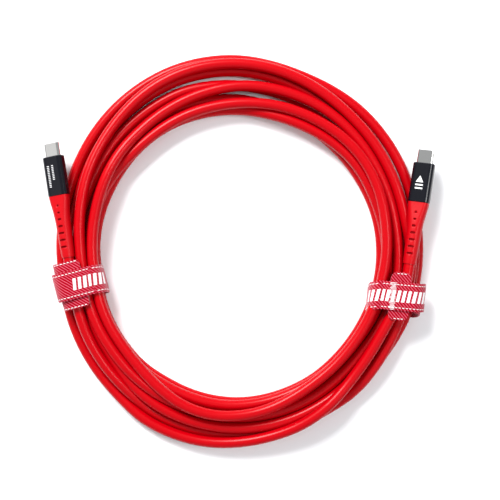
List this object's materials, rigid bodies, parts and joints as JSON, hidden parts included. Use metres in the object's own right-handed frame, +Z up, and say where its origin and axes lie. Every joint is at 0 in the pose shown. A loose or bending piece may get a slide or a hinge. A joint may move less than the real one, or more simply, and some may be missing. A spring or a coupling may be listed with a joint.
{
  "type": "usb-c tethering cable",
  "caption": "Long round USB-C cable wound in a flat coil, with a metal-bodied plug and slotted strain relief at each end and hook-and-loop ties round the bundle.",
  "frame": {"origin": "on the floor, under the centre of the coil, at the bottom centre of the whole part's box", "axes": "+Z up, away from the surface that the coil lies on; +Y the way both plugs point; -X the side of plug A and +X the side of plug B"},
  "size_m": [0.1958, 0.1964, 0.0193],
  "materials": {
    "jacket_red": "satin extruded TPE cable jacket",
    "relief_red": "satin moulded TPE",
    "anodised_black": "fine bead-blasted, black anodised",
    "plug_steel": "nickel-plated, deep-drawn",
    "insert_plastic": "moulded black",
    "contact_gold": "gold-plated",
    "board": "solder-masked laminate",
    "chip": "moulded",
    "can_steel": "tin-plated, folded",
    "wire_jacket": "extruded",
    "ferrule_brass": "crimped",
    "braid": "tinned copper braid",
    "inner_plastic": "natural, moulded",
    "strap_red": "woven loop tape, fuzzy",
    "strap_hooks": "hook tape",
    "mark_white": "printed ink"
  },
  "bodies": {
    "root": {"cable_coil": "jacket_red", "cable_lead_a": "jacket_red", "cable_lead_b": "jacket_red", "tie_band_a": "strap_red", "tie_head_a": "strap_red", "tie_band_b": "strap_red", "tie_head_b": "strap_red"},
    "plug_a": {"plug_shell_a": "plug_steel", "contact_insert_a": "insert_plastic", "plug_housing_a": "anodised_black", "strain_relief_a": "relief_red", "cable_end_a": "jacket_red", "contacts_upper_a": "contact_gold", "contacts_lower_a": "contact_gold", "side_latch_a": "plug_steel", "ground_springs_a": "plug_steel", "paddle_board_a": "board", "board_chips_a": "chip", "shield_can_a": "can_steel", "wires_a": "wire_jacket", "crimp_ferrule_a": "ferrule_brass", "braid_end_a": "braid", "inner_mould_a": "inner_plastic"},
    "tie_tail_a": {"tie_tail_a": "strap_red", "tie_hook_patch_a": "strap_hooks"},
    "plug_b": {"plug_shell_b": "plug_steel", "contact_insert_b": "insert_plastic", "plug_housing_b": "anodised_black", "strain_relief_b": "relief_red", "cable_end_b": "jacket_red", "contacts_upper_b": "contact_gold", "contacts_lower_b": "contact_gold", "side_latch_b": "plug_steel", "ground_springs_b": "plug_steel", "paddle_board_b": "board", "board_chips_b": "chip", "shield_can_b": "can_steel", "wires_b": "wire_jacket", "crimp_ferrule_b": "ferrule_brass", "braid_end_b": "braid", "inner_mould_b": "inner_plastic"},
    "tie_tail_b": {"tie_tail_b": "strap_red", "tie_hook_patch_b": "strap_hooks"}
  },
  "joints": [
    {"name": "plug_a_bend", "type": "hinge", "parent": "root", "child": "plug_a", "pos_m": [-0.08721, 0.01024, 0.01275], "axis": [0, 0, 1], "range_deg": [0, 30], "stiffness_Nm_per_rad": 0.03, "deforming": ["strain_relief_a", "cable_end_a"]},
    {"name": "plug_b_bend", "type": "hinge", "parent": "root", "child": "plug_b", "pos_m": [0.08621, 0.00684, 0.01275], "axis": [0, 0, -1], "range_deg": [0, 30], "stiffness_Nm_per_rad": 0.03, "deforming": ["strain_relief_b", "cable_end_b"]},
    {"name": "tie_a_peel", "type": "hinge", "parent": "root", "child": "tie_tail_a", "pos_m": [-0.0851, -0.01679, 0.0188], "axis": [-0.2521, 0.9677, 0], "range_deg": [0, 100]},
    {"name": "tie_b_peel", "type": "hinge", "parent": "root", "child": "tie_tail_b", "pos_m": [0.08497, -0.02238, 0.0188], "axis": [-0.0872, -0.9962, 0], "range_deg": [0, 100]}
  ]
}
